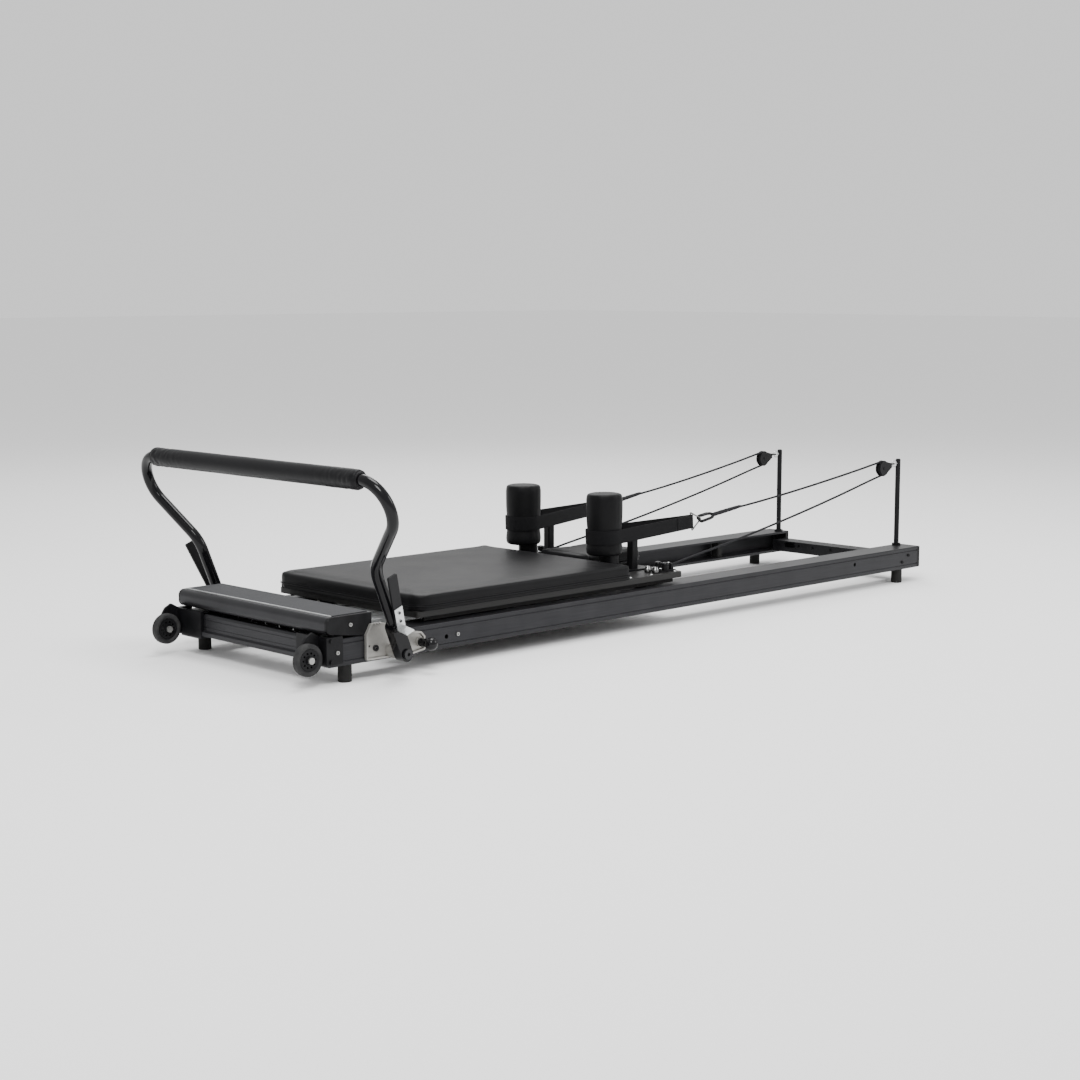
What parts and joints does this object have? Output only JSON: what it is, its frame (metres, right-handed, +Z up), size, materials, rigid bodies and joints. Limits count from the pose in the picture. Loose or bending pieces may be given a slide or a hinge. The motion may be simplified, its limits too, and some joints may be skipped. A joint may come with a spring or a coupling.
{
  "type": "pilates reformer",
  "caption": "Low sliding-carriage exercise bench: padded bed on channel rails, tilting footbar at one end, springs beneath, and ropes over pulleys on risers at the other.",
  "frame": {"origin": "on the floor under the middle of the overall length and width", "axes": "+X along the rails towards the rope risers, +Y across to the right side, +Z up"},
  "size_m": [2.35, 0.9648, 0.4937],
  "materials": {
    "dark_rail": "satin anodised, charcoal",
    "black_steel": "satin powder coat",
    "gloss_tube": "gloss black enamel",
    "nickel_plate": "cast, satin nickel",
    "bright_steel": "zinc plated",
    "black_plastic": "fine moulded texture",
    "gloss_knob": "polished",
    "black_rubber": "matt",
    "grey_tyre": "matt, worn",
    "grey_mat": "fine ribbed grain",
    "white_nylon": "turned nylon",
    "birch_board": "black stained plywood",
    "black_vinyl": "padded vinyl, fine grain",
    "black_webbing": "woven webbing",
    "dark_rope": "braided cord"
  },
  "bodies": {
    "frame": {"rail_left": "dark_rail", "rail_right": "dark_rail", "rail_end_caps": "black_plastic", "front_cross_member": "dark_rail", "head_crossbar": "black_steel", "corner_brackets": "black_steel", "feet": "black_rubber", "platform_beam": "dark_rail", "platform_end_caps": "black_plastic", "platform_mat": "grey_mat", "spring_bar": "black_steel", "spring_pegs": "bright_steel", "risers": "black_steel", "eye_bolts": "bright_steel", "frame_bolts": "bright_steel", "carriage_stops": "black_rubber"},
    "wheel_left": {"wheel_tyre_left": "grey_tyre", "wheel_hub_left": "black_plastic"},
    "wheel_right": {"wheel_tyre_right": "grey_tyre", "wheel_hub_right": "black_plastic"},
    "pulley_left": {"pulley_block_left": "black_plastic"},
    "pulley_right": {"pulley_block_right": "black_plastic"},
    "pulley_wheel_left": {"sheave_left": "black_plastic"},
    "pulley_wheel_right": {"sheave_right": "black_plastic"},
    "footbar_carrier": {"footbar_plates": "nickel_plate", "carrier_bolts": "bright_steel"},
    "footbar_assembly": {"footbar": "gloss_tube", "footbar_grip": "black_vinyl", "lever_blocks": "black_steel"},
    "lever_left": {"release_lever_left": "black_steel", "lever_leaf_left": "bright_steel"},
    "lever_right": {"release_lever_right": "black_steel", "lever_leaf_right": "bright_steel"},
    "lock_pin_left": {"pull_pin_left": "gloss_knob"},
    "lock_pin_right": {"pull_pin_right": "gloss_knob"},
    "carriage": {"carriage_base": "birch_board", "carriage_pad": "black_vinyl", "roller_hangers": "black_steel", "roller_axles": "bright_steel", "shoulder_rest_left": "black_vinyl", "shoulder_rest_right": "black_vinyl", "rest_stands": "black_steel", "headrest_frame": "black_steel", "rope_cleats": "black_plastic", "spring_anchor": "black_steel", "springs": "bright_steel", "straps": "black_webbing", "strap_rings": "bright_steel", "snap_hooks": "black_plastic", "rope_left": "dark_rope", "rope_right": "dark_rope"},
    "headrest_cushion": {"headrest": "black_vinyl"},
    "track_wheel_foot_left": {"track_wheel_foot_left": "white_nylon"},
    "side_roller_foot_left": {"side_roller_foot_left": "white_nylon"},
    "track_wheel_head_left": {"track_wheel_head_left": "white_nylon"},
    "side_roller_head_left": {"side_roller_head_left": "white_nylon"},
    "track_wheel_foot_right": {"track_wheel_foot_right": "white_nylon"},
    "side_roller_foot_right": {"side_roller_foot_right": "white_nylon"},
    "track_wheel_head_right": {"track_wheel_head_right": "white_nylon"},
    "side_roller_head_right": {"side_roller_head_right": "white_nylon"}
  },
  "joints": [
    {"name": "wheel_spin_left", "type": "hinge", "parent": "frame", "child": "wheel_left", "pos_m": [-1.138, -0.284, 0.065], "axis": [0, 1, 0], "continuous": true},
    {"name": "pulley_swivel_left", "type": "hinge", "parent": "frame", "child": "pulley_left", "pos_m": [1.123, -0.228, 0.352], "axis": [0, 0, 1], "range_deg": [-8, 8]},
    {"name": "pulley_spin_left", "type": "hinge", "parent": "pulley_left", "child": "pulley_wheel_left", "pos_m": [1.06, -0.23, 0.342], "axis": [0, 1, 0], "continuous": true},
    {"name": "wheel_spin_right", "type": "hinge", "parent": "frame", "child": "wheel_right", "pos_m": [-1.138, 0.273, 0.065], "axis": [0, 1, 0], "continuous": true},
    {"name": "pulley_swivel_right", "type": "hinge", "parent": "frame", "child": "pulley_right", "pos_m": [1.123, 0.228, 0.352], "axis": [0, 0, 1], "range_deg": [-8, 8]},
    {"name": "pulley_spin_right", "type": "hinge", "parent": "pulley_right", "child": "pulley_wheel_right", "pos_m": [1.06, 0.23, 0.342], "axis": [0, 1, 0], "continuous": true},
    {"name": "footbar_slide", "type": "slide", "parent": "frame", "child": "footbar_carrier", "axis": [1, 0, 0], "range_m": [0, 0.089]},
    {"name": "footbar_tilt", "type": "hinge", "parent": "footbar_carrier", "child": "footbar_assembly", "pos_m": [-0.91, 0, 0.058], "axis": [0, 1, 0], "range_deg": [-57, 6]},
    {"name": "lever_squeeze_left", "type": "hinge", "parent": "footbar_assembly", "child": "lever_left", "pos_m": [-0.93507, -0.362, 0.12337], "axis": [0.9285, 0, 0.3714], "range_deg": [-12, 0], "stiffness_Nm_per_rad": 0.6, "springref_deg": 8.59},
    {"name": "lock_pull_left", "type": "slide", "parent": "footbar_carrier", "child": "lock_pin_left", "axis": [0, -1, 0], "range_m": [0, 0.01], "stiffness_N_per_m": 800, "springref_m": -0.006},
    {"name": "lever_squeeze_right", "type": "hinge", "parent": "footbar_assembly", "child": "lever_right", "pos_m": [-0.93507, 0.362, 0.12337], "axis": [0.9285, 0, 0.3714], "range_deg": [0, 12], "stiffness_Nm_per_rad": 0.6, "springref_deg": -8.59},
    {"name": "lock_pull_right", "type": "slide", "parent": "footbar_carrier", "child": "lock_pin_right", "axis": [0, 1, 0], "range_m": [0, 0.01], "stiffness_N_per_m": 800, "springref_m": -0.006},
    {"name": "carriage_slide", "type": "slide", "parent": "frame", "child": "carriage", "axis": [1, 0, 0], "range_m": [0, 0.78], "stiffness_N_per_m": 150, "springref_m": -0.08, "deforming": ["springs", "rope_left", "rope_right"]},
    {"name": "headrest_tilt", "type": "hinge", "parent": "carriage", "child": "headrest_cushion", "pos_m": [-0.059, 0, 0.141], "axis": [0, -1, 0], "range_deg": [0, 30]},
    {"name": "track_wheel_foot_left_spin", "type": "hinge", "parent": "carriage", "child": "track_wheel_foot_left", "pos_m": [-0.705, -0.235, 0.07105], "axis": [0, 1, 0], "continuous": true},
    {"name": "side_roller_foot_left_spin", "type": "hinge", "parent": "carriage", "child": "side_roller_foot_left", "pos_m": [-0.645, -0.1935, 0.1], "axis": [0, 0, 1], "continuous": true},
    {"name": "track_wheel_head_left_spin", "type": "hinge", "parent": "carriage", "child": "track_wheel_head_left", "pos_m": [0.035, -0.235, 0.07105], "axis": [0, 1, 0], "continuous": true},
    {"name": "side_roller_head_left_spin", "type": "hinge", "parent": "carriage", "child": "side_roller_head_left", "pos_m": [0.095, -0.1935, 0.1], "axis": [0, 0, 1], "continuous": true},
    {"name": "track_wheel_foot_right_spin", "type": "hinge", "parent": "carriage", "child": "track_wheel_foot_right", "pos_m": [-0.705, 0.235, 0.07105], "axis": [0, 1, 0], "continuous": true},
    {"name": "side_roller_foot_right_spin", "type": "hinge", "parent": "carriage", "child": "side_roller_foot_right", "pos_m": [-0.645, 0.1935, 0.1], "axis": [0, 0, 1], "continuous": true},
    {"name": "track_wheel_head_right_spin", "type": "hinge", "parent": "carriage", "child": "track_wheel_head_right", "pos_m": [0.035, 0.235, 0.07105], "axis": [0, 1, 0], "continuous": true},
    {"name": "side_roller_head_right_spin", "type": "hinge", "parent": "carriage", "child": "side_roller_head_right", "pos_m": [0.095, 0.1935, 0.1], "axis": [0, 0, 1], "continuous": true}
  ],
  "couplings": [
    {"joint": "track_wheel_foot_left_spin", "follows": "carriage_slide", "rad_per_m": 43.478},
    {"joint": "side_roller_foot_left_spin", "follows": "carriage_slide", "rad_per_m": -55.556},
    {"joint": "track_wheel_head_left_spin", "follows": "carriage_slide", "rad_per_m": 43.478},
    {"joint": "side_roller_head_left_spin", "follows": "carriage_slide", "rad_per_m": -55.556},
    {"joint": "track_wheel_foot_right_spin", "follows": "carriage_slide", "rad_per_m": 43.478},
    {"joint": "side_roller_foot_right_spin", "follows": "carriage_slide", "rad_per_m": 55.556},
    {"joint": "track_wheel_head_right_spin", "follows": "carriage_slide", "rad_per_m": 43.478},
    {"joint": "side_roller_head_right_spin", "follows": "carriage_slide", "rad_per_m": 55.556}
  ]
}
